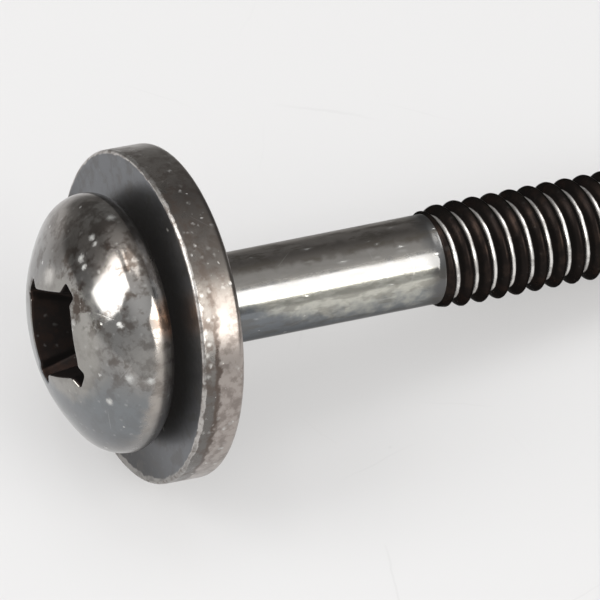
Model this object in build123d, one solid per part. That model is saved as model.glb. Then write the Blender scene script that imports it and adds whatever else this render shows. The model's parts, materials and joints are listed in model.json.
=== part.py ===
from build123d import *
from math import atan2, cos, degrees, floor, radians, sin, tan
import os

# Machine screw with a thick round head, a cross recess with a wide square middle,
# a plain reduced shank and a rolled right-hand thread. A loose flat washer is trapped
# on the shank: its hole clears the shank but not the thread.
#
# Millimetres. The screw lies on a table, on the washer's rim and on the last full turn
# of the thread. +Z is up, +X runs along the screw from the head to the tip, and the
# origin is under the middle of its box. The pieces are first made upright, with the
# screw's axis on Z, the head's bearing face at Z = 0 and the tip above it, and +X there
# is the side that comes to lie on the table.

# Thread
thread_diameter = 4.1
thread_pitch = 0.794
thread_depth = 0.44
flank_angle = 30
crest_width = 0.12
thread_start_angle = 180
run_out_length = 0.8
tip_chamfer = 0.45

# Shank
shank_diameter = 3.55
shank_length = 12.8
screw_length = 25.4

# Head
head_diameter = 10.2
head_height = 3.57
head_shoulder_radius = 1.4
head_rim_radius = 0.85
neck_chamfer = 0.12

# Recess
recess_span = 5.5
recess_depth = 2.2
recess_flank_angle = 26.5
wing_width = 0.8
socket_width = 3.6
socket_corner_radius = 0.85
socket_taper = 8
socket_point_depth = 0.5
recess_angle = 0

# Washer
washer_diameter = 13.1
washer_thickness = 1.8
washer_hole_clearance = 0.35
washer_front_edge = 0.12
washer_back_edge = 0.25
washer_hole_edge = 0.1
washer_gap = 0.2
washer_lean = 1.3
slide_clearance = 0.05

# Worked out from the sizes above
thread_radius = thread_diameter / 2
root_radius = thread_radius - thread_depth
shank_radius = shank_diameter / 2
head_radius = head_diameter / 2
washer_radius = washer_diameter / 2
hole_radius = (shank_diameter + washer_hole_clearance) / 2
washer_middle = washer_gap + washer_thickness / 2
sunk = thread_depth / 2


# Sphere of the dome, which runs smoothly into the shoulder above the rim
def dome():
    shoulder_x = head_radius - head_shoulder_radius
    rise = head_height - head_rim_radius
    radius = (shoulder_x**2 + rise**2 - head_shoulder_radius**2) / (2 * (rise - head_shoulder_radius))
    centre_z = radius - head_height
    meeting = degrees(atan2(-head_rim_radius - centre_z, shoulder_x))
    return radius, centre_z, meeting


# Head, shank and the cone that leads into the thread, turned in one
def turned_blank():
    dome_radius, dome_z, meeting = dome()
    shoulder_centre = (head_radius - head_shoulder_radius, -head_rim_radius)
    rim_centre = (head_radius - head_rim_radius, -head_rim_radius)
    with BuildSketch(Plane.XZ) as section:
        with BuildLine():
            CenterArc((0, dome_z), dome_radius, -90, meeting + 90)
            CenterArc(shoulder_centre, head_shoulder_radius, meeting, -meeting)
            CenterArc(rim_centre, head_rim_radius, 0, 90)
            Polyline(
                (rim_centre[0], 0),
                (shank_radius + neck_chamfer, 0),
                (shank_radius, neck_chamfer),
                (shank_radius, shank_length),
                (root_radius - sunk, shank_length + run_out_length),
                (0, shank_length + run_out_length),
                (0, -head_height),
            )
        make_face()
    return revolve(section.sketch, Axis.Z)


# Thread's outline along the axis, from one end of a root to the same end of the next
def thread_profile():
    half_crest = crest_width / 2
    half_root = half_crest + thread_depth * tan(radians(flank_angle))
    return [
        (root_radius, half_root),
        (root_radius, thread_pitch - half_root),
        (thread_radius, thread_pitch - half_crest),
        (thread_radius, thread_pitch + half_crest),
        (root_radius, thread_pitch + half_root),
    ]


# Threaded rod: ruled strips between the helices of one turn, repeated and closed at both ends
def threaded_rod(turns):
    profile = thread_profile()
    helices = [Helix(thread_pitch, thread_pitch, r, center=(0, 0, z)).edge() for r, z in profile]
    strips = [Face.make_surface_from_curves(a, b) for a, b in zip(helices, helices[1:])]
    low = (0, profile[0][1])
    high = (0, profile[-1][1])
    core = Edge.make_line((0, 0, low[1]), (0, 0, high[1]))
    ramp = Face.make_surface_from_curves(helices[0], core)
    step = Face(Wire.make_polygon([(r, 0, z) for r, z in [low, *profile, high]]))
    faces = [strip.moved(Location((0, 0, k * thread_pitch))) for k in range(turns) for strip in strips]
    for end in (ramp, step):
        faces += [end, end.moved(Location((0, 0, turns * thread_pitch)))]
    return Solid(Shell(faces))


# Space that the thread fills: it rises out of the shank and ends at the chamfered tip
def thread_envelope():
    rise = thread_radius - shank_radius
    full_height = shank_length + run_out_length
    tip_start = screw_length - tip_chamfer
    with BuildSketch(Plane.XZ) as section:
        with BuildLine():
            Polyline(
                (0, shank_length - run_out_length),
                (shank_radius - rise, shank_length - run_out_length),
                (thread_radius + rise, full_height + run_out_length),
                (thread_radius + rise, tip_start - rise),
                (thread_radius - tip_chamfer, screw_length),
                (0, screw_length),
                close=True,
            )
        make_face()
    return revolve(section.sketch, Axis.Z)


def thread():
    lead_in = 2
    turns = floor((screw_length - shank_length) / thread_pitch) + 2 * lead_in
    start = Location((0, 0, shank_length - lead_in * thread_pitch), (0, 0, thread_start_angle))
    return threaded_rod(turns).moved(start) & thread_envelope()


# Pair of opposite wings, as a flat blade whose ends slope in towards the bottom
def recess_blade():
    dome_radius, dome_z, _ = dome()
    half_span = recess_span / 2
    mouth = dome_z - (dome_radius**2 - half_span**2) ** 0.5
    bottom = recess_depth - head_height
    slope = tan(radians(recess_flank_angle))
    outer = half_span + (mouth + head_height) * slope
    inner = half_span - (bottom - mouth) * slope
    with BuildSketch(Plane.XZ) as section:
        with BuildLine():
            Polyline(
                (-outer, -head_height),
                (outer, -head_height),
                (inner, bottom),
                (-inner, bottom),
                close=True,
            )
        make_face()
    return extrude(section.sketch, wing_width / 2, both=True)


# Cross recess: a tapered square socket with a wing at each corner and a pointed bottom
def recess():
    narrowing = recess_depth * tan(radians(socket_taper))
    bottom_width = socket_width - 2 * narrowing
    with BuildSketch(Plane.XY.offset(-head_height)) as mouth:
        RectangleRounded(socket_width, socket_width, socket_corner_radius, rotation=45)
    with BuildSketch(Plane.XY.offset(recess_depth - head_height)) as bottom:
        RectangleRounded(bottom_width, bottom_width, socket_corner_radius - narrowing, rotation=45)
    socket = loft([mouth.sketch, bottom.sketch])
    point_middle = recess_depth - head_height + socket_point_depth / 2
    point = Pos(0, 0, point_middle) * Cone(bottom_width / 2, 0, socket_point_depth)
    blade = recess_blade()
    return Rot(0, 0, recess_angle) * (socket + point + blade + Rot(0, 0, 90) * blade)


def screw():
    return turned_blank() + thread() - recess()


# Flat washer with broken edges, the widest at the back of the rim
def washer():
    front = -washer_thickness / 2
    back = washer_thickness / 2
    with BuildSketch(Plane.XZ) as section:
        with BuildLine():
            Polyline(
                (hole_radius + washer_hole_edge, front),
                (washer_radius - washer_front_edge, front),
                (washer_radius, front + washer_front_edge),
                (washer_radius, back - washer_back_edge),
                (washer_radius - washer_back_edge, back),
                (hole_radius + washer_hole_edge, back),
                (hole_radius, back - washer_hole_edge),
                (hole_radius, front + washer_hole_edge),
                close=True,
            )
        make_face()
    ring = revolve(section.sketch, Axis.Z)
    return Pos(0, 0, washer_middle) * Rot(0, washer_lean, 0) * ring


# Slope of the screw's axis when the washer's rim and the thread rest on the table
def resting_slope():
    lean = radians(washer_lean)
    back = washer_thickness / 2 - washer_back_edge
    rim_z = washer_middle + back * cos(lean) - washer_radius * sin(lean)
    rim_x = washer_radius * cos(lean) + back * sin(lean)
    first_crest = shank_length - thread_pitch * thread_start_angle / 360
    last_full = screw_length - tip_chamfer - crest_width / 2
    crest_z = first_crest + thread_pitch * floor((last_full - first_crest) / thread_pitch)
    return degrees(atan2(rim_x - thread_radius, crest_z - rim_z))


# Travel of the washer along the screw, to the head and to where the thread begins
def washer_travel():
    tilt = radians(washer_lean)
    seat = (head_radius - head_rim_radius) * sin(tilt)
    hole = hole_radius * sin(tilt)
    to_head = washer_gap - seat - slide_clearance
    to_thread = shank_length - washer_gap - washer_thickness - hole - slide_clearance
    return -to_head, to_thread


slope = resting_slope()
lying = Rot(0, 90 + slope, 0)
pieces = {"screw": lying * screw(), "washer": lying * washer()}
box = Compound(list(pieces.values())).bounding_box()
resting_place = Location((-box.center().X, 0, -box.min.Z))
os.makedirs("parts", exist_ok=True)
for name, piece in pieces.items():
    placed = resting_place * piece
    placed.label = name
    export_step(placed, f"parts/{name}.step")

place = resting_place.position
print(f"slope {slope:.4f} degrees, bearing face at {place.X:.4f} {place.Y:.4f} {place.Z:.4f}")
print(f"washer travel {washer_travel()[0]:.4f} to {washer_travel()[1]:.4f}")
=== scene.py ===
import bpy
import json
import math
import numpy as np
from mathutils import Matrix, Vector, noise


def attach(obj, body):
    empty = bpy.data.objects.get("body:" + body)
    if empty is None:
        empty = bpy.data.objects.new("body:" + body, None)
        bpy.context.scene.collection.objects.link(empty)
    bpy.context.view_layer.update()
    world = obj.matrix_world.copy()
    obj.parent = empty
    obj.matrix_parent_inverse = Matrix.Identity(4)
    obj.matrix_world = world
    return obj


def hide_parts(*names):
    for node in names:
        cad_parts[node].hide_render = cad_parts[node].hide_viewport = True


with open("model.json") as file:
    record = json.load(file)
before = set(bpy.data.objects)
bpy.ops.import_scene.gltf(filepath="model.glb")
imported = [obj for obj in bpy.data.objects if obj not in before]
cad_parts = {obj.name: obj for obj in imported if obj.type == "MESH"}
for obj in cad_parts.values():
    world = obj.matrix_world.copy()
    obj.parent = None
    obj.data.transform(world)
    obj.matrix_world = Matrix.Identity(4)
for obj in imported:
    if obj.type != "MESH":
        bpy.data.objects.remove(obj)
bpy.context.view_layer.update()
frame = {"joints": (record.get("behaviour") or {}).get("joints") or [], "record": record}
mm = 0.001
micrometre = 0.001 * mm
tiny = 1e-6  # keeps divisions away from zero
print("frame loaded")

# Where the screw lies, read from the frame
mounts = {m["name"]: m for m in frame["record"]["mounts"]}
screwAxis = Vector(frame["joints"][0]["axis"]).normalized()
washerNormal = Vector(mounts["clamp_face"]["axis"]).normalized()
headTop = Vector(mounts["drive_recess"]["pos_m"])


# Placement whose Z runs along the axis and whose Y stays level
def upright(origin, axis):
    side = Vector((0, 1, 0))
    down = side.cross(axis).normalized()
    place = Matrix((down, side, axis)).transposed().to_4x4()
    place.translation = origin
    return place


# Smooth maximum for sign 1, smooth minimum for sign -1
def blendEnds(a, b, width, sign):
    near = np.maximum(width - np.abs(a - b), 0) / width
    return (np.maximum(a, b) if sign > 0 else np.minimum(a, b)) + sign * near**2 * width / 4


def addObject(name, data):
    piece = bpy.data.objects.new(name, data)
    bpy.context.scene.collection.objects.link(piece)
    return piece


# Mesh from points in millimetres along the upright piece; skins gives each face the number of its material
def makePiece(name, points, faces, skins, place, materials):
    mesh = bpy.data.meshes.new(name)
    turned = points * mm @ np.array(place.to_3x3()).T + np.array(place.translation)
    mesh.from_pydata(turned.tolist(), [], faces)
    for material in materials:
        mesh.materials.append(material)
    mesh.polygons.foreach_set("material_index", skins)
    mesh.shade_smooth()
    return addObject(name, mesh)


# Quads between two rows of points, each a list of indices; where two corners are one point, a triangle
def stitch(lower, upper, closed=True):
    count = len(lower)
    faces = []
    for c in range(count if closed else count - 1):
        n = (c + 1) % count
        corners = [lower[c], lower[n], upper[n], upper[c]]
        faces.append([v for k, v in enumerate(corners) if v not in corners[:k]])
    return [f for f in faces if len(f) > 2]


# Ring of points round the axis
def ringRow(radius, z, count):
    angles = np.arange(count) * 2 * math.pi / count
    return np.stack([radius * np.cos(angles), radius * np.sin(angles), np.full(count, z)], 1)


# Round stretch of an outline as (radius, z) points after the first: centre, radius, two angles in degrees
def corner(x, z, radius, start, end, count):
    turns = np.radians(np.linspace(start, end, count + 1))[1:]
    return [(x + radius * math.cos(a), z + radius * math.sin(a)) for a in turns]


# Straight stretch of an outline, also without its first point
def straight(first, last, count):
    shares = np.linspace(0, 1, count + 1)[1:]
    return [(first[0] + (last[0] - first[0]) * s, first[1] + (last[1] - first[1]) * s) for s in shares]


# Small uneven waves along given directions, so that reflections waver as on a tumbled part
def wavering(points, towards, size, height):
    waves = np.array([noise.noise(Vector(p) / size) for p in points])
    return points + height * waves[:, None] * towards / np.linalg.norm(towards, axis=1, keepdims=True)


# Shader helpers: a value that is a socket is linked, any other is typed in
def setInputs(tree, node, values):
    for key, value in values.items():
        if isinstance(value, bpy.types.NodeSocket):
            tree.links.new(value, node.inputs[key])
        else:
            node.inputs[key].default_value = value


def addNode(tree, kind, values=None, **settings):
    node = tree.nodes.new("ShaderNode" + kind)
    for key, value in settings.items():
        setattr(node, key, value)
    setInputs(tree, node, values or {})
    return node


def calculate(tree, operation, *values):
    return addNode(tree, "Math", dict(enumerate(values)), operation=operation).outputs[0]


def vectorMath(tree, operation, *values):
    outputs = addNode(tree, "VectorMath", dict(enumerate(values)), operation=operation).outputs
    return outputs["Value" if operation in ("DOT_PRODUCT", "LENGTH", "DISTANCE") else "Vector"]


# Value carried from the range start to end over to the range low to high
def mapRange(tree, value, start, end, low=0, high=1, smooth=True):
    values = {"Value": value, 1: start, 2: end, 3: low, 4: high}
    kind = "SMOOTHSTEP" if smooth else "LINEAR"
    return addNode(tree, "MapRange", values, interpolation_type=kind).outputs[0]


# Mix towards a plain colour by a mask; sockets 6 and 7 are the two colours
def mixColour(tree, mask, first, second):
    return addNode(tree, "Mix", {0: mask, 6: first, 7: (*second, 1)}, data_type="RGBA").outputs[2]


# Mix two plain values by a mask
def mixValue(tree, mask, first, second):
    return addNode(tree, "Mix", {0: mask, 2: first, 3: second}).outputs[0]


def newMaterial(name):
    material = bpy.data.materials.new(name)
    material.use_nodes = True
    material.node_tree.nodes.clear()
    return material, material.node_tree


def newGroup(name, inputs, outputs):
    tree = bpy.data.node_groups.new(name, "ShaderNodeTree")
    for label, kind in inputs.items():
        tree.interface.new_socket(label, in_out="INPUT", socket_type="NodeSocket" + kind)
    for label, kind in outputs.items():
        tree.interface.new_socket(label, in_out="OUTPUT", socket_type="NodeSocket" + kind)
    return tree, tree.nodes.new("NodeGroupInput").outputs, tree.nodes.new("NodeGroupOutput").inputs


# Places moved about a little, so that whatever is drawn on them gets a ragged edge
def raggedGroup():
    tree, given, out = newGroup(
        "raggedPlace", {"Vector": "Vector", "Per mm": "Float", "Reach": "Float"}, {"Vector": "Vector"}
    )
    values = {"Vector": given["Vector"], "Scale": given["Per mm"], "Detail": 3.0}
    drift = addNode(tree, "TexNoise", values).outputs["Color"]
    centred = vectorMath(tree, "SUBTRACT", drift, (0.5,) * 3)
    moved = vectorMath(tree, "MULTIPLY", centred, given["Reach"])
    tree.links.new(vectorMath(tree, "ADD", given["Vector"], moved), out["Vector"])
    return tree


# Scattered bare flecks and pits: a share of the cells holds one, of a size of its own
def pitsGroup():
    tree, given, out = newGroup(
        "scatteredPits",
        {"Vector": "Vector", "Per mm": "Float", "Share": "Float", "Size": "Float"},
        {"Mask": "Float", "Height": "Float"},
    )
    smallest = 0.35  # share of the full size
    core = 0.2  # how far out a pit is full, as a share of its radius
    cells = addNode(tree, "TexVoronoi", {"Vector": given["Vector"], "Scale": given["Per mm"]}).outputs
    chance = addNode(tree, "SeparateColor", {"Color": cells["Color"]}).outputs
    chosen = calculate(tree, "LESS_THAN", chance["Red"], given["Share"])
    ownSize = mapRange(tree, chance["Green"], 0, 1, smallest, 1, smooth=False)
    reach = calculate(tree, "MULTIPLY", ownSize, given["Size"])
    near = calculate(tree, "DIVIDE", cells["Distance"], reach)
    mask = calculate(tree, "MULTIPLY", mapRange(tree, near, core, 1, 1, 0), chosen)
    tree.links.new(mask, out["Mask"])
    tree.links.new(calculate(tree, "MULTIPLY", mask, -1), out["Height"])
    return tree


# Zone that begins along a direction or outwards from the axis
def zoneGroup():
    tree, given, out = newGroup(
        "finishZone",
        {"Vector": "Vector", "Towards": "Vector", "Out": "Float", "Start": "Float", "End": "Float"},
        {"Mask": "Float"},
    )
    along = vectorMath(tree, "DOT_PRODUCT", given["Vector"], given["Towards"])
    radius = vectorMath(tree, "LENGTH", vectorMath(tree, "MULTIPLY", given["Vector"], (1, 1, 0)))
    reached = calculate(tree, "MULTIPLY_ADD", radius, given["Out"], along)
    tree.links.new(mapRange(tree, reached, given["Start"], given["End"]), out["Mask"])
    return tree


# Round spot at a place of its own
def spotGroup():
    tree, given, out = newGroup(
        "lonelySpot",
        {"Vector": "Vector", "Centre": "Vector", "Size": "Float", "Softness": "Float"},
        {"Mask": "Float"},
    )
    away = vectorMath(tree, "DISTANCE", given["Vector"], given["Centre"])
    share = calculate(tree, "DIVIDE", away, given["Size"])
    core = calculate(tree, "SUBTRACT", 1, given["Softness"])
    tree.links.new(mapRange(tree, share, core, 1, 1, 0), out["Mask"])
    return tree


# Blotches of old plating, soft clouds broken up by a finer grain
def blotchGroup():
    tree, given, out = newGroup(
        "platingBlotches",
        {"Vector": "Vector", "Per mm": "Float", "Level": "Float", "Softness": "Float"},
        {"Mask": "Float", "Cloud": "Float"},
    )
    values = {"Vector": given["Vector"], "Scale": given["Per mm"], "Detail": 6.0, "Roughness": 0.62}
    cloud = addNode(tree, "TexNoise", values).outputs[0]
    low = calculate(tree, "SUBTRACT", given["Level"], given["Softness"])
    high = calculate(tree, "ADD", given["Level"], given["Softness"])
    tree.links.new(mapRange(tree, cloud, low, high), out["Mask"])
    tree.links.new(cloud, out["Cloud"])
    return tree


# Straight fine scratches: a share of the cells is cut by a thin plane of its own slant
def scratchGroup():
    tree, given, out = newGroup(
        "fineScratches",
        {"Vector": "Vector", "Per mm": "Float", "Share": "Float", "Width": "Float"},
        {"Mask": "Float", "Height": "Float"},
    )
    core = 0.3  # share of the width that is scratched to the full
    fadeStart = 0.2  # where a scratch begins to fade and where it ends, in cells from the middle
    fadeEnd = 0.55
    cells = addNode(tree, "TexVoronoi", {"Vector": given["Vector"], "Scale": given["Per mm"]}).outputs
    away = vectorMath(tree, "SUBTRACT", given["Vector"], cells["Position"])
    slant = vectorMath(tree, "NORMALIZE", vectorMath(tree, "SUBTRACT", cells["Color"], (0.5,) * 3))
    across = calculate(tree, "ABSOLUTE", vectorMath(tree, "DOT_PRODUCT", away, slant))
    share = calculate(tree, "DIVIDE", across, given["Width"])
    line = mapRange(tree, share, core, 1, 1, 0, smooth=False)
    ends = mapRange(tree, cells["Distance"], fadeStart, fadeEnd, 1, 0, smooth=False)
    chance = addNode(tree, "SeparateColor", {"Color": cells["Color"]}).outputs["Blue"]
    chosen = calculate(tree, "LESS_THAN", chance, given["Share"])
    mask = calculate(tree, "MULTIPLY", calculate(tree, "MULTIPLY", line, ends), chosen)
    tree.links.new(mask, out["Mask"])
    tree.links.new(calculate(tree, "MULTIPLY", mask, -1), out["Height"])
    return tree


groups = {
    "ragged": raggedGroup(),
    "pits": pitsGroup(),
    "zone": zoneGroup(),
    "spot": spotGroup(),
    "blotches": blotchGroup(),
    "scratches": scratchGroup(),
}


def useGroup(tree, name, values):
    node = tree.nodes.new("ShaderNodeGroup")
    node.node_tree = groups[name]
    setInputs(tree, node, values)
    return node.outputs


# Zones of a finish, in millimetres along the upright piece, whose -X is its upper side as it lies. An area
# begins along a direction, or outwards from the axis, between start and end; a patch is round. Ragged is
# how far the edge strays, and the rest is what changes there: colour, roughness or strength of the stains
def area(towards, start, end, ragged=0, out=0, **changes):
    values = {"Towards": towards, "Out": out, "Start": start, "End": end}
    return {"group": "zone", "values": values, "ragged": ragged, **changes}


def patch(centre, size, ragged=0, softness=0.9, **changes):
    values = {"Centre": centre, "Size": size, "Softness": softness}
    return {"group": "spot", "values": values, "ragged": ragged, **changes}


# Finishes: colours are linear, scales are counts per millimetre, depths are micrometres, and a spot is
# (place, radius) in millimetres
headFinish = {
    "plate": (0.25, 0.245, 0.238),
    "zones": [
        area((1, -0.35, 0), -1.0, 1.6, colour=(0.21, 0.222, 0.232), stain=0.12),
        area((1, -0.35, 0), 1.5, 4.0, colour=(0.17, 0.178, 0.187)),
        area((-0.25, -0.25, 0), -2.7, -2.0, 0.9, -1, colour=(0.32, 0.31, 0.29), roughness=0.2, stain=0.2),
        area((-0.9, 0.45, 0), 2.5, 4.2, colour=(0.25, 0.23, 0.212), roughness=0.18),
        patch((-3.1, 1.6, -2.7), 1.2, 0.4, colour=(0.14, 0.132, 0.124), roughness=0.12),
        patch((-4.7, 1.7, -1.4), 1.2, 0.8, colour=(0.33, 0.315, 0.295)),
        patch((-2.6, -4.3, -1.25), 1.7, 0.8, colour=(0.4, 0.385, 0.365), stain=0.4),
        patch((-1.95, 1.35, -3.15), 0.6, 0.4, colour=(0.6, 0.58, 0.55), stain=0.1),
        area((0, -0.25, 1), -0.25, 0.25, 0.7, colour=(0.4, 0.37, 0.34), roughness=0.36),
        area((0.35, 0, 1), -1.4, -0.4, 0.6, colour=(0.235, 0.23, 0.225)),
        patch((-3.7, -0.8, -2.4), 2.4, 0.8, softness=0.4, stain=1.0),
        patch((-3.9, -1.4, -2.3), 1.15, 0.8, softness=0.4, stain=0.05),
        # Painted reflection: a bright coppery tint on the rim where an orange reflection shows beside the
        # highlight
        patch((-3.8, -3.25, -0.05), 1.1, 0.3, colour=(1.0, 0.58, 0.36)),
    ],
    "stretch": 1.0,  # below 1, stains and flecks draw out along the axis
    "stain": (0.085, 0.068, 0.057),
    "stainPerMm": 1.5,
    "stainLevel": 0.53,
    "stainSoftness": 0.08,
    "stainStrength": 0.7,
    "roughness": 0.06,
    "stainRoughness": 0.16,
    "bareAndGlints": (0.66, 0.66, 0.64),
    "bareRoughness": 0.45,
    "spots": [
        ((-4.9, 1.2, -1.1), 0.3),
        ((-4.45, 0.8, -2.0), 0.24),
        ((-4.45, 0.45, -2.0), 0.21),
        ((-3.8, 0.4, -2.5), 0.3),
        ((-3.75, 0.0, -2.5), 0.2),
        ((-2.0, -1.2, -3.2), 0.22),
        ((-3.4, -2.8, -2.1), 0.22),
        ((-1.8, -4.2, -1.95), 0.28),
        ((-1.95, -4.65, -1.25), 0.23),
        ((-0.25, -3.95, -2.4), 0.23),
    ],
    "pitPerMm": 1.7,
    "pitShare": 0.16,
    "pitSize": 0.24,
    "pitDepth": 5.0,
    "dustPerMm": 3.4,
    "dustShare": 0.4,
    "dustSize": 0.45,
    "dustStrength": 0.2,
    "grainPerMm": 12.0,
    "grainDepth": 0.25,
    "scratchPerMm": 0.8,
    "scratchShare": 0.3,
    "scratchWidth": 0.016,
    "scratchDepth": 0.4,
    "scratchStrength": 0.2,
    "edgeTint": 1.0,  # how bright the metal is where it is seen at a low angle
    "veil": 0.006,  # faint glow that lifts the darkest reflections
}
# Recess: its near-black plate is painted shade in the deep hollow, with brown grime stains over it
recessFinish = dict(
    headFinish,
    plate=(0.018, 0.014, 0.013),
    zones=[],
    stain=(0.03, 0.018, 0.014),
    roughness=0.4,
    stainRoughness=0.5,
    pitShare=0.06,
    dustStrength=0.1,
    scratchStrength=0.0,
    # Painted glints: bright spots on the recess walls where glints show
    spots=[((2.15, 0.36, -2.2), 0.2), ((1.4, 1.1, -2.4), 0.14), ((1.7, -0.3, -2.1), 0.12)],
    veil=0.004,
)
shankFinish = dict(
    headFinish,
    plate=(0.2, 0.2, 0.2),
    # Bands along fixed sides round the shank: at the lamp's highlight, painted sheen above and a painted
    # pale band below widen it; higher up, painted darker and lighter reflection bands with stains; lower
    # down, bluer tones with stains, and a darker ring where the thread begins
    zones=[
        area((-0.6, 0.8, 0), 0.1, 0.35, 0.4, colour=(0.26, 0.25, 0.235), roughness=0.28),
        area((-0.6, 0.8, 0), 0.65, 0.95, 0.5, colour=(0.16, 0.147, 0.134), stain=0.6),
        area((-0.6, 0.8, 0), 1.15, 1.55, 0.3, colour=(0.36, 0.335, 0.31)),
        area((0.6, -0.8, 0), 0.25, 0.44, 0.4, colour=(0.52, 0.515, 0.46), stain=0.4),
        area((0.6, -0.8, 0), 0.8, 1.75, 1.2, colour=(0.21, 0.222, 0.23)),
        area((0.6, -0.8, -0.35), -1.5, -0.7, 0.9, colour=(0.175, 0.187, 0.2), stain=0.4),
        area((0, 0, 1), 11.8, 12.6, 0.5, colour=(0.13, 0.13, 0.13)),
    ],
    roughness=0.1,
    stainRoughness=0.2,
    stretch=0.35,
    stain=(0.12, 0.108, 0.09),
    stainPerMm=2.4,
    stainLevel=0.54,
    stainStrength=0.12,
    spots=[],
    pitPerMm=3.4,
    pitShare=0.25,
    grainDepth=0.6,
    scratchStrength=0.22,
    dustStrength=0.16,
    edgeTint=0.5,
)
threadFinish = dict(
    headFinish,
    # Painted highlight: the near-white plate shows only in the roots, so the lamp's reflection there
    # becomes bright lines; the crests and flanks above them are near black
    plate=(0.85, 0.83, 0.8),
    zones=[
        area((0, 0, 0), 1.672, 1.704, 0.04, out=1, colour=(0.012, 0.009, 0.008), roughness=0.36),
        area((0, 0, 1), 25.3, 25.38, colour=(0.17, 0.16, 0.15), stain=0.8),
    ],
    stain=(0.04, 0.026, 0.02),
    stainStrength=0.4,
    roughness=0.3,
    stainRoughness=0.45,
    spots=[],
    pitShare=0.0,
    dustStrength=0.02,
    scratchStrength=0.0,
    edgeTint=0.3,
    veil=0.005,
)
faceFinish = dict(
    headFinish,
    plate=(0.14, 0.146, 0.157),
    zones=[
        area((1, 0.3, 0), 0.0, 4.0, colour=(0.046, 0.047, 0.05)),
        # Painted highlight: a lighter band along the front edge, where the edge's highlight line runs
        area((0, 0, -1), 7.3, 7.36, 0.16, out=1, colour=(0.5, 0.48, 0.46)),
        area((0.05, 0, -1), 7.36, 7.44, 0.2, out=1, colour=(0.3, 0.288, 0.275)),
    ],
    stain=(0.09, 0.085, 0.08),
    stainStrength=0.5,
    roughness=0.28,
    stainRoughness=0.34,
    spots=[],
    pitShare=0.04,
    grainDepth=0.8,
    scratchStrength=0.08,
    dustStrength=0.05,
    veil=0.008,
)
rimFinish = dict(
    headFinish,
    plate=(0.255, 0.242, 0.228),
    zones=[
        area((1, -0.1, 0), -3.4, -1.6, 0.8, colour=(0.15, 0.142, 0.134)),
        patch((-5.1, -4.2, -0.5), 1.5, 0.6, colour=(0.18, 0.167, 0.157)),
        area((0, 0, 1), -0.42, -0.32, 0.45, colour=(0.12, 0.098, 0.086)),
        area((0, 0, 1), -0.26, -0.1, 0.55, colour=(0.38, 0.34, 0.315), roughness=0.28, stain=0.5),
        area((-1, 0.2, 0), 3.0, 5.0, 0.8, colour=(0.185, 0.168, 0.153)),
        area((-1, 0.2, 0), 5.7, 6.3, 1.0, colour=(0.13, 0.117, 0.107)),
        area((-0.3, 1, 0), 2.0, 4.0, 1.0, colour=(0.28, 0.257, 0.235)),
        # Painted highlight: a lighter band along the front edge, where the edge's highlight line runs
        area((0, 0, -1), 7.3, 7.35, 0.2, out=1, colour=(0.48, 0.46, 0.44)),
        area((0.05, 0, -1), 7.36, 7.44, 0.2, out=1, colour=(0.3, 0.288, 0.275)),
    ],
    stain=(0.11, 0.086, 0.073),
    roughness=0.26,
    stainRoughness=0.4,
    stainPerMm=2.3,
    stainSoftness=0.1,
    stainStrength=0.75,
    spots=[
        ((-5.4, -3.7, -0.62), 0.12),
        ((-5.1, -4.1, -0.75), 0.14),
        ((-4.8, -4.5, -0.55), 0.13),
        ((-4.5, -4.8, -0.7), 0.15),
        ((-4.1, -5.1, -0.6), 0.12),
        ((-3.8, -5.4, -0.72), 0.14),
        ((-3.4, -5.6, -0.6), 0.12),
        ((-3.0, -5.8, -0.7), 0.13),
    ],
    bareAndGlints=(0.55, 0.54, 0.52),
    pitPerMm=3.2,
    pitShare=0.28,
    pitSize=0.42,
    dustStrength=0.34,
    grainDepth=2.5,
    scratchStrength=0.1,
)
# What all the metal shares
metal = {
    "raggedPerMm": 5.0,
    "raggedReach": 0.22,
    "zonePerMm": 2.2,
    "cloudLow": 0.35,  # from here to cloudHigh the roughness goes over to that of the stains
    "cloudHigh": 0.7,
    "veilTint": (1, 0.93, 0.88),
}
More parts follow.
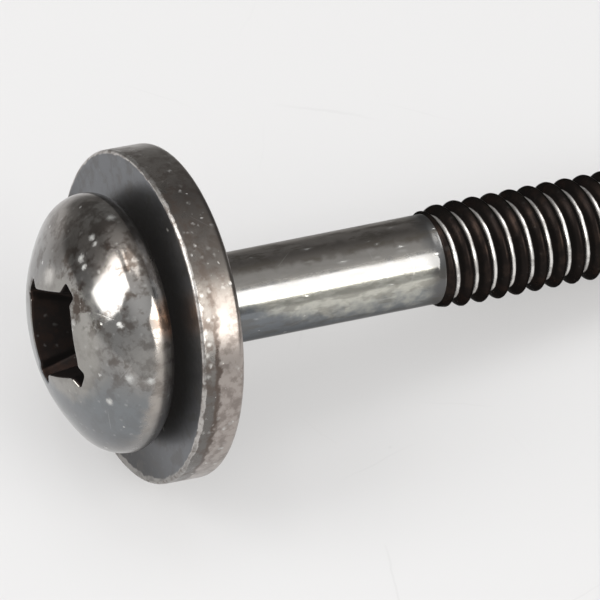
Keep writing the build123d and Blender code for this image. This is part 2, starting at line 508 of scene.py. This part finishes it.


# Dark worn nickel plate with its zones, stains, bare flecks and spots, of which some are painted shade,
# highlights, reflections and glints
def makeMetal(name, finish, at):
    material, tree = newMaterial(name)
    back = at.inverted()
    values = {
        "Vector": addNode(tree, "TexCoord").outputs["Object"],
        "Location": back.translation / mm,
        "Rotation": back.to_euler(),
        "Scale": (1 / mm,) * 3,
    }
    place = addNode(tree, "Mapping", values).outputs[0]
    drawn = vectorMath(tree, "MULTIPLY", place, (1, 1, finish["stretch"]))
    values = {"Vector": drawn, "Per mm": metal["raggedPerMm"], "Reach": metal["raggedReach"]}
    ragged = useGroup(tree, "ragged", values)["Vector"]
    values = {
        "Vector": ragged,
        "Per mm": finish["stainPerMm"],
        "Level": finish["stainLevel"],
        "Softness": finish["stainSoftness"],
    }
    blotch = useGroup(tree, "blotches", values)
    values = {"Per mm": finish["pitPerMm"], "Share": finish["pitShare"], "Size": finish["pitSize"]}
    pits = useGroup(tree, "pits", {"Vector": ragged, **values})
    values = {"Per mm": finish["dustPerMm"], "Share": finish["dustShare"], "Size": finish["dustSize"]}
    dust = useGroup(tree, "pits", {"Vector": ragged, **values})
    values = {
        "Vector": place,
        "Per mm": finish["scratchPerMm"],
        "Share": finish["scratchShare"],
        "Width": finish["scratchWidth"],
    }
    scratches = useGroup(tree, "scratches", values)
    colour = (*finish["plate"], 1)
    roughEnds = (finish["roughness"], finish["stainRoughness"])
    rough = mapRange(tree, blotch["Cloud"], metal["cloudLow"], metal["cloudHigh"], *roughEnds, smooth=False)
    strength = finish["stainStrength"]
    for zone in finish["zones"]:
        values = {"Vector": place, "Per mm": metal["zonePerMm"], "Reach": zone["ragged"]}
        moved = useGroup(tree, "ragged", values)["Vector"]
        mask = useGroup(tree, zone["group"], {"Vector": moved, **zone["values"]})["Mask"]
        if "colour" in zone:
            colour = mixColour(tree, mask, colour, zone["colour"])
        if "roughness" in zone:
            rough = mixValue(tree, mask, rough, zone["roughness"])
        if "stain" in zone:
            strength = mixValue(tree, mask, strength, zone["stain"])
    stained = calculate(tree, "MULTIPLY", blotch["Mask"], strength)
    colour = mixColour(tree, stained, colour, finish["stain"])
    bareAndGlints = calculate(tree, "MULTIPLY", scratches["Mask"], finish["scratchStrength"])
    fine = calculate(tree, "MULTIPLY", dust["Mask"], finish["dustStrength"])
    bareAndGlints = calculate(tree, "MAXIMUM", bareAndGlints, fine)
    bareAndGlints = calculate(tree, "MAXIMUM", bareAndGlints, pits["Mask"])
    # Spots: bare flecks on the head and rim, painted glints in the recess
    for centre, size in finish["spots"]:
        spot = useGroup(tree, "spot", {"Vector": ragged, "Centre": centre, "Size": size, "Softness": 1})
        bareAndGlints = calculate(tree, "MAXIMUM", bareAndGlints, spot["Mask"])
    colour = mixColour(tree, bareAndGlints, colour, finish["bareAndGlints"])
    rough = mixValue(tree, bareAndGlints, rough, finish["bareRoughness"])
    values = {"Vector": place, "Scale": finish["grainPerMm"], "Detail": 3.0}
    grain = addNode(tree, "TexNoise", values).outputs[0]
    normal = None
    for height, depth in (
        (grain, finish["grainDepth"]),
        (scratches["Height"], finish["scratchDepth"]),
        (pits["Height"], finish["pitDepth"]),
    ):
        bump = addNode(tree, "Bump", {"Height": height, "Distance": depth * micrometre})
        if normal:
            tree.links.new(normal, bump.inputs["Normal"])
        normal = bump.outputs[0]
    values = {
        "Base Color": colour,
        "Roughness": rough,
        "Metallic": 1.0,
        "Specular Tint": (finish["edgeTint"],) * 3 + (1,),
        "Normal": normal,
        "Emission Color": (*metal["veilTint"], 1),
        "Emission Strength": finish["veil"],
    }
    shader = addNode(tree, "BsdfPrincipled", values)
    addNode(tree, "OutputMaterial", {"Surface": shader.outputs[0]})
    return material


# Sizes in millimetres along the upright screw: the head's bearing face at 0, the tip above it
screw = {
    "headDiameter": 10.2,
    "headHeight": 3.57,
    "shoulderRadius": 1.4,
    "rimRadius": 0.85,
    "neckRadius": 0.12,
    "shankDiameter": 3.55,
    "shankLength": 12.8,
    "length": 25.4,
    "tipChamfer": 0.45,
    "waverSize": 0.8,
    "waverHeight": 0.003,
    "columns": 256,  # points round the screw; the counts below are rows along it
    "domeRows": 24,
    "shoulderRows": 17,
    "rimRows": 13,
    "undersideRows": 5,
    "neckRows": 4,
    "shankRows": 36,
    "tipRings": (0.97, 0.6, 0.25),  # shares of the tip's radius
}
thread = {
    "diameter": 4.1,
    "depth": 0.38,
    "pitch": 0.794,
    "crestWidth": 0.22,
    "flankAngle": 28,
    "startAngle": 180,
    "runOut": 0.8,
    "earlyRise": 0.45,  # how far before the end of the shank the first crest begins to show
    "neckShare": 0.86,  # radius that the shank narrows to over the run-out, as a share of the root's
    "crestRounding": 0.22,
    "rootRounding": 0.08,
    "riseRounding": 0.06,
    "neckRounding": 0.05,
    "tipRounding": 0.05,
    "rowsPerPitch": 14,
    "rows": 208,  # rows of points between the wedges that close the thread's ends
}
recess = {
    "span": 5.2,
    "depth": 2.2,
    "flankAngle": 26.5,
    "wingWidth": 0.72,
    "socketWidth": 3.45,
    "cornerRadius": 0.85,
    "taper": 8,
    "pointDepth": 0.5,
    "foot": 0.12,  # rounding between the walls and the bottom
    "lip": 0.13,  # rounding at the mouth
    "softness": 0.08,  # rounding of the corners seen from above
    "worn": 0.2,  # how far two opposite walls are worn back
    "offCentre": -0.15,  # along both wings
    "sink": 0.1,  # how far the mouth is drawn in
    "sinkStart": 1.7,
    "sinkEnd": 3.4,
    "samples": 4096,  # points of an outline before the columns are picked from it
    "depths": 14,  # at which the walls are worked out
    "floorShares": (0.12, 0.3, 0.5, 0.7, 0.88, 1.0),
    "footBends": (30, 60, 90),
    "wallShares": (0.15, 0.3, 0.45, 0.6, 0.75, 0.9, 1.0),
    "lipBends": (67.5, 45, 22.5, 0),
}
headSkin, recessSkin, shankSkin, threadSkin = range(4)  # order of the screw's materials


# Radius of the dome's sphere, and the angle off the top where it runs into the shoulder
def domeShape():
    shoulder = screw["shoulderRadius"]
    shoulderX = screw["headDiameter"] / 2 - shoulder
    rise = screw["headHeight"] - screw["rimRadius"]
    radius = (shoulderX**2 + rise**2 - shoulder**2) / (2 * (rise - shoulder))
    return radius, math.atan2(shoulderX, radius - rise)


domeRadius, shoulderStart = domeShape()


# Depth of the dome's surface below the top of the head, drawn in a little round the recess
def domeDepth(radius):
    near = np.clip((radius - recess["sinkStart"]) / (recess["sinkEnd"] - recess["sinkStart"]), 0, 1)
    sunk = recess["sink"] * (1 + np.cos(math.pi * near)) / 2
    return domeRadius - np.sqrt(domeRadius**2 - radius**2) + sunk


# Polar radius of the recess at a depth: a rounded square with its corners on the wings
def recessRadius(angles, depth):
    narrowing = depth * math.tan(math.radians(recess["taper"]))
    half = recess["socketWidth"] / 2 - narrowing
    bend = recess["cornerRadius"] - narrowing
    worn = half + recess["worn"] * (1 - depth / recess["depth"])
    across = np.maximum(np.abs(np.cos(angles - math.pi / 4)), tiny)
    along = np.maximum(np.abs(np.sin(angles - math.pi / 4)), tiny)
    flat = np.minimum(worn / across, half / along)
    lean = (worn - bend) * across + (half - bend) * along
    inside = (worn - bend) ** 2 + (half - bend) ** 2 - bend**2
    bent = lean + np.sqrt(np.maximum(lean**2 - inside, 0))
    rounded = (flat * across > worn - bend) & (flat * along > half - bend)
    socket = np.where(rounded, bent, flat)
    toWing = np.abs((angles + math.pi / 4) % (math.pi / 2) - math.pi / 4)
    mouth = domeDepth(recess["span"] / 2)
    reach = recess["span"] / 2 - (depth - mouth) * math.tan(math.radians(recess["flankAngle"]))
    wing = np.minimum(reach / np.cos(toWing), recess["wingWidth"] / 2 / np.maximum(np.sin(toWing), tiny))
    return np.maximum(socket, wing)


# Outline of the recess at a depth, as evenly spaced points x + iy, with its corners softened
def recessOutline(depth):
    samples = recess["samples"]
    fine = np.linspace(0, 2 * math.pi, 2 * samples, endpoint=False)
    radius = recessRadius(fine, depth)
    x = radius * np.cos(fine)
    y = radius * np.sin(fine)
    steps = np.hypot(np.diff(x, append=x[0]), np.diff(y, append=y[0]))
    length = np.concatenate([[0], np.cumsum(steps)])
    even = np.linspace(0, length[-1], samples, endpoint=False)
    outline = np.interp(even, length, np.append(x, x[0])) + 1j * np.interp(even, length, np.append(y, y[0]))
    waves = np.fft.fftfreq(samples, d=length[-1] / samples)
    softening = np.exp(-2 * (math.pi * waves * recess["softness"]) ** 2)
    return np.fft.ifft(np.fft.fft(outline) * softening)


# Rows of points from the bottom of the recess to the edge of its rounded mouth
def recessRows(columns):
    mouth = recessOutline(domeDepth(recess["socketWidth"] / 2))
    beside = 4  # samples to each side that give the direction of the mouth's edge
    ahead = np.roll(mouth, -beside) - np.roll(mouth, beside)
    every = len(mouth) // columns
    outward = (-1j * ahead / np.abs(ahead))[::every]
    mouth = mouth[::every]
    angles = np.unwrap(np.angle(mouth))
    around = np.exp(1j * angles)
    table = []
    for depth in np.linspace(0, recess["depth"], recess["depths"]):
        outline = recessOutline(depth)
        turned = np.unwrap(np.angle(outline))
        table.append(np.interp(angles, turned, np.abs(outline), period=2 * math.pi))
    table = np.array(table)

    # Radius of the wall in each column at its own depth
    def wallRadius(depth):
        at = np.clip(depth / recess["depth"], 0, 1) * (len(table) - 1)
        low = np.minimum(at.astype(int), len(table) - 2)
        pick = np.arange(columns)
        return table[low, pick] * (1 - at + low) + table[low + 1, pick] * (at - low)

    rows = []
    shift = recess["offCentre"] * (1 + 1j)
    foot = recess["foot"]
    bottom = wallRadius(np.full(columns, recess["depth"])) - foot
    pointRadius = recess["socketWidth"] / 2 - recess["depth"] * math.tan(math.radians(recess["taper"]))
    for share in recess["floorShares"]:
        radius = bottom * share
        depth = recess["depth"] + recess["pointDepth"] * np.maximum(1 - radius / pointRadius, 0)
        rows.append((radius * around + shift, depth))
    for bend in recess["footBends"]:
        turn = math.radians(bend)
        depth = np.full(columns, recess["depth"] - foot * (1 - math.cos(turn)))
        rows.append(((bottom + foot * math.sin(turn)) * around + shift, depth))
    top = domeDepth(np.abs(mouth + shift)) + recess["lip"]
    for share in recess["wallShares"]:
        depth = recess["depth"] - foot + (top - recess["depth"] + foot) * share
        rows.append((wallRadius(depth) * around + shift, depth))
    edge = wallRadius(top) * around + shift
    for bend in recess["lipBends"]:
        turn = math.radians(bend)
        at = edge + outward * recess["lip"] * (1 - math.sin(turn))
        rows.append((at, domeDepth(np.abs(at)) + recess["lip"] * (1 - math.cos(turn))))
    return [np.stack([at.real, at.imag, depth - screw["headHeight"]], 1) for at, depth in rows]


# Radius of the shank and the thread at an angle and a height
def threadRadius(angle, z):
    crest = thread["diameter"] / 2
    root = crest - thread["depth"]
    shank = screw["shankDiameter"] / 2
    lead = screw["shankLength"] + thread["pitch"] * (angle / (2 * math.pi) - thread["startAngle"] / 360)
    off = np.abs((z - lead + thread["pitch"] / 2) % thread["pitch"] - thread["pitch"] / 2)
    flank = crest - (off - thread["crestWidth"] / 2) / math.tan(math.radians(thread["flankAngle"]))
    radius = blendEnds(flank, root, thread["rootRounding"], 1)
    radius = blendEnds(radius, crest, thread["crestRounding"], -1)
    begun = z - screw["shankLength"] + thread["earlyRise"]
    rise = shank + begun * (crest - shank) / (thread["runOut"] + thread["earlyRise"])
    fall = shank - (z - screw["shankLength"]) * (shank - root * thread["neckShare"]) / thread["runOut"]
    radius = blendEnds(radius, rise, thread["riseRounding"], -1)
    radius = blendEnds(radius, np.minimum(fall, shank), thread["neckRounding"], 1)
    radius = np.where(begun < 0, np.minimum(radius, shank), radius)
    tip = crest - screw["tipChamfer"] + screw["length"] - z
    return blendEnds(radius, tip, thread["tipRounding"], -1)


# The screw as one closed skin: rows of points from the recess over the head to the tip
def buildScrew(materials):
    columns = screw["columns"]
    even = np.arange(columns) * 2 * math.pi / columns
    points = []
    faces = []
    skins = []

    def addRow(row):
        points.extend(np.asarray(row, float).tolist())
        return list(range(len(points) - len(row), len(points)))

    def join(lower, upper, skin, closed=True):
        made = stitch(lower, upper, closed)
        faces.extend(made)
        skins.extend([skin] * len(made))

    aside = recess["offCentre"]
    centre = addRow([(aside, aside, recess["depth"] + recess["pointDepth"] - screw["headHeight"])])
    rows = recessRows(columns)
    last = addRow(rows[0])
    join(centre * columns, last, recessSkin)
    for k, row in enumerate(rows[1:], 1):
        now = addRow(row)
        join(last, now, recessSkin if k < len(rows) - 2 else headSkin)
        last = now
    # Dome, from the mouth to where the shoulder begins
    lip = rows[-1]
    domeEdge = domeRadius * math.sin(shoulderStart)
    for share in np.linspace(0, 1, screw["domeRows"] + 1)[1:]:
        x = lip[:, 0] * (1 - share) + domeEdge * np.cos(even) * share
        y = lip[:, 1] * (1 - share) + domeEdge * np.sin(even) * share
        z = domeDepth(np.hypot(x, y)) - screw["headHeight"]
        now = addRow(np.stack([x, y, z], 1))
        join(last, now, headSkin)
        last = now
    # Shoulder, round rim, flat underside and small neck radius, then the plain shank
    shoulder = screw["shoulderRadius"]
    rim = screw["rimRadius"]
    neck = screw["neckRadius"]
    shank = screw["shankDiameter"] / 2
    rimX = screw["headDiameter"] / 2 - rim
    shoulderAngle = math.degrees(shoulderStart) - 90
    firstZ = screw["length"] - (thread["rows"] / thread["rowsPerPitch"] + 1) * thread["pitch"]
    stretches = [
        (corner(rimX + rim - shoulder, -rim, shoulder, shoulderAngle, 0, screw["shoulderRows"]), headSkin),
        (corner(rimX, -rim, rim, 0, 90, screw["rimRows"]), headSkin),
        (straight((rimX, 0), (shank + neck, 0), screw["undersideRows"]), headSkin),
        (corner(shank + neck, neck, neck, 270, 180, screw["neckRows"]), shankSkin),
        (straight((shank, neck), (shank, firstZ), screw["shankRows"]), shankSkin),
    ]
    for stretch, skin in stretches:
        for radius, z in stretch:
            now = addRow(ringRow(radius, z, columns))
            join(last, now, skin)
            last = now
    # Thread: rows that follow the helix, with a wedge of rows at each end to close the turn
    perPitch = thread["rowsPerPitch"]
    stepZ = thread["pitch"] / perPitch
    endZ = screw["length"]
    bottomZ = firstZ + even / (2 * math.pi) * thread["pitch"]
    topZ = bottomZ + thread["rows"] * stepZ

    def helixRow(z):
        radius = threadRadius(even, z)
        return np.stack([radius * np.cos(even), radius * np.sin(even), z], 1)

    def wedge(lower, upper, lowZ, highZ, starts, ends):
        before = lower
        for k in range(1, perPitch):
            row = helixRow(lowZ + (highZ - lowZ) * k / perPitch)
            now = [starts[k], *addRow(row[1:]), ends[k]]
            join(before, now, threadSkin, closed=False)
            before = now
        join(before, upper, threadSkin, closed=False)

    spiral = [[last[0], *addRow(helixRow(bottomZ)[1:])]]
    for k in range(1, thread["rows"] + 1):
        spiral.append(addRow(helixRow(bottomZ + k * stepZ)))
    endRow = addRow(helixRow(np.full(columns, endZ)))
    seam = [row[0] for row in spiral]  # the points of the first column, up to the end
    for k in range(1, perPitch):
        z = bottomZ[0] + (thread["rows"] + k) * stepZ
        seam += addRow(helixRow(np.full(columns, z))[:1])
    seam.append(endRow[0])
    for k in range(thread["rows"]):
        lower = spiral[k] + [seam[k + perPitch]]
        upper = spiral[k + 1] + [seam[k + perPitch + 1]]
        join(lower, upper, threadSkin, closed=False)
    wedge(last + last[:1], spiral[0] + [seam[perPitch]], firstZ, bottomZ, last[:1] * perPitch, seam)
    lateSeam = seam[thread["rows"]:]
    wedge(spiral[-1] + endRow[:1], endRow + endRow[:1], topZ, endZ, lateSeam, endRow[:1] * perPitch)
    # Flat end of the tip
    last = endRow
    tipRadius = thread["diameter"] / 2 - screw["tipChamfer"]
    for share in screw["tipRings"]:
        now = addRow(ringRow(tipRadius * share, endZ, columns))
        join(last, now, threadSkin)
        last = now
    join(last, addRow([(0, 0, endZ)]) * columns, threadSkin)
    placed = np.array(points)
    middle = np.where(placed[:, 2] < 0, domeRadius - screw["headHeight"], placed[:, 2])
    outward = placed - np.stack([0 * middle, 0 * middle, middle], 1) + (tiny, 0, 0)
    placed = wavering(placed, outward, screw["waverSize"], screw["waverHeight"])
    return makePiece("screwBody", placed, faces, skins, screwPlace, materials)


# Sizes in millimetres along the upright washer, its middle at 0 and its front face below
washer = {
    "diameter": 13.1,
    "thickness": 1.8,
    "hole": 3.9,
    "frontEdge": 0.12,
    "backEdge": 0.25,
    "holeEdge": 0.1,
    "gap": 0.2,
    "columns": 360,  # points round the washer; the counts below are rows across it
    "frontRows": 27,
    "frontEdgeRows": 5,
    "rimRows": 23,
    "backEdgeRows": 6,
    "backRows": 19,
    "holeEdgeRows": 4,
    "holeRows": 5,
}
faceSkin, rimSkin = range(2)  # order of the washer's materials


# The washer as a closed ring: its outline runs over the front, the rim and the back into the hole
def buildWasher(materials):
    outer = washer["diameter"] / 2
    inner = washer["hole"] / 2
    half = washer["thickness"] / 2
    hole = washer["holeEdge"]
    front = washer["frontEdge"]
    back = washer["backEdge"]
    stretches = [
        (straight((inner + hole, -half), (outer - front, -half), washer["frontRows"]), faceSkin),
        (corner(outer - front, front - half, front, -90, 0, washer["frontEdgeRows"]), rimSkin),
        (straight((outer, front - half), (outer, half - back), washer["rimRows"]), rimSkin),
        (corner(outer - back, half - back, back, 0, 90, washer["backEdgeRows"]), rimSkin),
        (straight((outer - back, half), (inner + hole, half), washer["backRows"]), faceSkin),
        (corner(inner + hole, half - hole, hole, 90, 180, washer["holeEdgeRows"]), faceSkin),
        (straight((inner, half - hole), (inner, hole - half), washer["holeRows"]), faceSkin),
        (corner(inner + hole, hole - half, hole, 180, 270, washer["holeEdgeRows"]), faceSkin),
    ]
    points = []
    rows = []
    rowSkins = []
    for stretch, skin in stretches:
        for radius, z in stretch:
            rows.append(list(range(len(points), len(points) + washer["columns"])))
            points.extend(ringRow(radius, z, washer["columns"]).tolist())
            rowSkins.append(skin)
    faces = []
    skins = []
    for k, skin in enumerate(rowSkins):
        made = stitch(rows[k - 1], rows[k])
        faces.extend(made)
        skins.extend([skin] * len(made))
    return makePiece("washerRing", np.array(points), faces, skins, washerPlace, materials)


bearing = headTop + screwAxis * screw["headHeight"] * mm
washerMiddle = bearing + screwAxis * (washer["gap"] + washer["thickness"] / 2) * mm
screwPlace = upright(bearing, screwAxis)
washerPlace = upright(washerMiddle, washerNormal)

screwPiece = buildScrew(
    [
        makeMetal("headPlate", headFinish, screwPlace),
        makeMetal("recessShadeAndGrime", recessFinish, screwPlace),
        makeMetal("shankPlate", shankFinish, screwPlace),
        makeMetal("threadPlate", threadFinish, screwPlace),
    ]
)
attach(screwPiece, "screw")
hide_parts("screw")
print("screw built,", len(screwPiece.data.polygons), "faces")

washerPiece = buildWasher(
    [makeMetal("washerFace", faceFinish, washerPlace), makeMetal("washerRim", rimFinish, washerPlace)]
)
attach(washerPiece, "washer")
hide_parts("washer")
print("washer built,", len(washerPiece.data.polygons), "faces")


# Direction from an azimuth and an elevation in degrees, azimuth 0 along +X
def direction(azimuth, elevation):
    a = math.radians(azimuth)
    e = math.radians(elevation)
    return Vector((math.cos(e) * math.cos(a), math.cos(e) * math.sin(a), math.sin(e)))


# Turn whose Z points along a direction and whose X stays level
def facing(towards):
    side = Vector((0, 0, 1)).cross(towards).normalized()
    return Matrix((side, towards.cross(side), towards)).transposed()


# Floor: pale paper whose far side fades, as the metal mirrors it
floor = {
    "size": 1.2,
    "colour": (0.315, 0.317, 0.325),
    "roughness": 0.6,
    "shine": 0.1,
    "glow": 0.405,  # light that comes through the paper and softens the shadows
    "glowTint": (1, 0.985, 0.968),
    "farColour": (0.1, 0.1, 0.1),
    "farGlow": 0.08,
    "fadeTowards": 60,  # azimuth of the far side
    "fadeStart": 0.015,
    "fadeEnd": 0.027,
    "markColour": (0, 0, 0),
    "marksStrength": 0.1,
    "marksPerMm": 0.22,
    "marksShare": 0.5,
    "marksWidth": 0.05,
    "specksPerMm": 0.5,
    "specksShare": 0.12,
    "specksSize": 0.09,
    "raggedPerMm": 0.3,
    "raggedReach": 0.6,
}


# Faint scratches and specks on the paper
def floorMarks(tree, local):
    place = vectorMath(tree, "MULTIPLY", local, (1 / mm,) * 3)
    values = {"Vector": place, "Per mm": floor["raggedPerMm"], "Reach": floor["raggedReach"]}
    place = useGroup(tree, "ragged", values)["Vector"]
    values = {"Per mm": floor["marksPerMm"], "Share": floor["marksShare"], "Width": floor["marksWidth"]}
    lines = useGroup(tree, "scratches", {"Vector": place, **values})["Mask"]
    values = {"Per mm": floor["specksPerMm"], "Share": floor["specksShare"], "Size": floor["specksSize"]}
    specks = useGroup(tree, "pits", {"Vector": place, **values})["Mask"]
    either = calculate(tree, "MAXIMUM", lines, specks)
    return calculate(tree, "MULTIPLY", either, floor["marksStrength"])


def buildFloor():
    half = floor["size"] / 2
    mesh = bpy.data.meshes.new("paper")
    corners = [(-half, -half, 0), (half, -half, 0), (half, half, 0), (-half, half, 0)]
    mesh.from_pydata(corners, [], [(0, 1, 2, 3)])
    piece = addObject("paper", mesh)
    material, tree = newMaterial("palePaper")
    local = addNode(tree, "TexCoord").outputs["Object"]
    away = vectorMath(tree, "DOT_PRODUCT", local, direction(floor["fadeTowards"], 0))
    fade = mapRange(tree, away, floor["fadeStart"], floor["fadeEnd"], smooth=False)
    mirrored = addNode(tree, "LightPath").outputs["Is Glossy Ray"]
    share = calculate(tree, "MULTIPLY", fade, mirrored)
    colour = mixColour(tree, floorMarks(tree, local), (*floor["colour"], 1), floor["markColour"])
    colour = mixColour(tree, share, colour, floor["farColour"])
    values = {
        "Base Color": colour,
        "Roughness": floor["roughness"],
        "Specular IOR Level": floor["shine"],
        "Emission Color": (*floor["glowTint"], 1),
        "Emission Strength": mapRange(tree, share, 0, 1, floor["glow"], floor["farGlow"], smooth=False),
    }
    shader = addNode(tree, "BsdfPrincipled", values)
    addNode(tree, "OutputMaterial", {"Surface": shader.outputs[0]})
    mesh.materials.append(material)


# Soft windows round the object: where each stands, how wide and high it looks, how far its top leans in
# over the object and how far it is turned, all in degrees, and how bright it is
windows = {
    "windowLeft": {
        "azimuth": 168,
        "elevation": 32.6,
        "wide": 25,
        "high": 56,
        "lean": 26,
        "turn": 4,
        "glow": 4.8,
        "tint": (1, 0.99, 0.97),
    },
    "windowAbove": {
        "azimuth": 122,
        "elevation": 75,
        "wide": 18,
        "high": 6,
        "lean": 0,
        "turn": 44,
        "glow": 5.4,
        "tint": (1, 0.97, 0.93),
    },
    "windowRight": {
        "azimuth": 304,
        "elevation": 36,
        "wide": 36,
        "high": 30,
        "lean": 0,
        "turn": 0,
        "glow": 5.0,
        "tint": (1, 0.98, 0.94),
    },
    "ceilingGlow": {
        "azimuth": 48,
        "elevation": 77,
        "wide": 22,
        "high": 22,
        "lean": 0,
        "turn": 0,
        "glow": 2.4,
        "tint": (1, 0.99, 0.97),
    },
}
lightDistance = 0.4


def buildWindows():
    for name, window in windows.items():
        light = bpy.data.lights.new(name, "AREA")
        light.shape = "RECTANGLE"
        light.size = 2 * lightDistance * math.tan(math.radians(window["wide"] / 2))
        light.size_y = 2 * lightDistance * math.tan(math.radians(window["high"] / 2))
        light.energy = window["glow"] * math.pi * light.size * light.size_y
        light.color = window["tint"]
        towards = direction(window["azimuth"], window["elevation"])
        turn = Matrix.Rotation(math.radians(window["turn"]), 3, "Z")
        lean = Matrix.Rotation(-math.radians(window["lean"]), 3, "X")
        piece = addObject(name, light)
        piece.location = towards * lightDistance
        piece.rotation_euler = (facing(towards) @ turn @ lean).to_euler()


# Room round the object: dark behind it, lighter in front and overhead. The camera sees a pale backdrop
room = {
    "dark": 0.2,
    "overhead": 0.6,
    "overheadStart": 0.45,  # height where the light from overhead begins, with 1 straight up
    "front": 0.42,
    "frontAzimuth": 235,
    "frontElevation": 20,
    "frontStart": -0.2,  # cosines of the angle off the front direction
    "frontEnd": 0.8,
    "backdrop": 0.8,
}


def buildRoom():
    world = bpy.data.worlds.new("room")
    bpy.context.scene.world = world
    world.use_nodes = True
    tree = world.node_tree
    tree.nodes.clear()
    towards = addNode(tree, "TexCoord").outputs["Generated"]
    height = addNode(tree, "SeparateXYZ", {0: towards}).outputs["Z"]
    above = mapRange(tree, height, room["overheadStart"], 1, 0, room["overhead"])
    frontWay = direction(room["frontAzimuth"], room["frontElevation"])
    front = vectorMath(tree, "DOT_PRODUCT", towards, frontWay)
    lightest = room["dark"] + room["front"]
    ahead = mapRange(tree, front, room["frontStart"], room["frontEnd"], room["dark"], lightest)
    lit = addNode(tree, "Background", {"Color": calculate(tree, "ADD", above, ahead)}).outputs[0]
    seen = addNode(tree, "Background", {"Color": (room["backdrop"],) * 3 + (1,)}).outputs[0]
    looked = addNode(tree, "LightPath").outputs["Is Camera Ray"]
    pick = addNode(tree, "MixShader", {0: looked, 1: lit, 2: seen})
    addNode(tree, "OutputWorld", {"Surface": pick.outputs[0]})


# Camera: where it looks from, and the middle of the washer's front as it falls on the 600-pixel picture
view = {
    "azimuth": 247.69,
    "elevation": 53.03,
    "distance": 0.9,  # no more than 1, so that the same lens still works from the other sides
    "frameWidth": 23.14,  # millimetres across the picture, at that distance
    "pictureSize": 600,
    "washerX": 131.3,
    "washerY": 317.7,
    "sensor": 36.0,
    "clipStart": 0.01,
    "clipEnd": 10,
}


def buildCamera():
    back = direction(view["azimuth"], view["elevation"])
    right = Vector((0, 0, 1)).cross(back).normalized()
    up = back.cross(right)
    pixel = view["frameWidth"] * mm / view["pictureSize"]
    half = view["pictureSize"] / 2
    target = bearing + screwAxis * washer["gap"] * mm
    target += right * (half - view["washerX"]) * pixel + up * (view["washerY"] - half) * pixel
    data = bpy.data.cameras.new("camera")
    data.sensor_width = view["sensor"]
    data.lens = view["sensor"] * view["distance"] / (view["frameWidth"] * mm)
    data.clip_start = view["clipStart"]
    data.clip_end = view["clipEnd"]
    piece = addObject("camera", data)
    piece.matrix_world = Matrix((right, up, back)).transposed().to_4x4()
    piece.location = target + back * view["distance"]
    bpy.context.scene.camera = piece


buildFloor()
buildWindows()
buildRoom()
buildCamera()
bpy.context.scene.view_settings.view_transform = "Standard"
print("floor, light and camera placed")
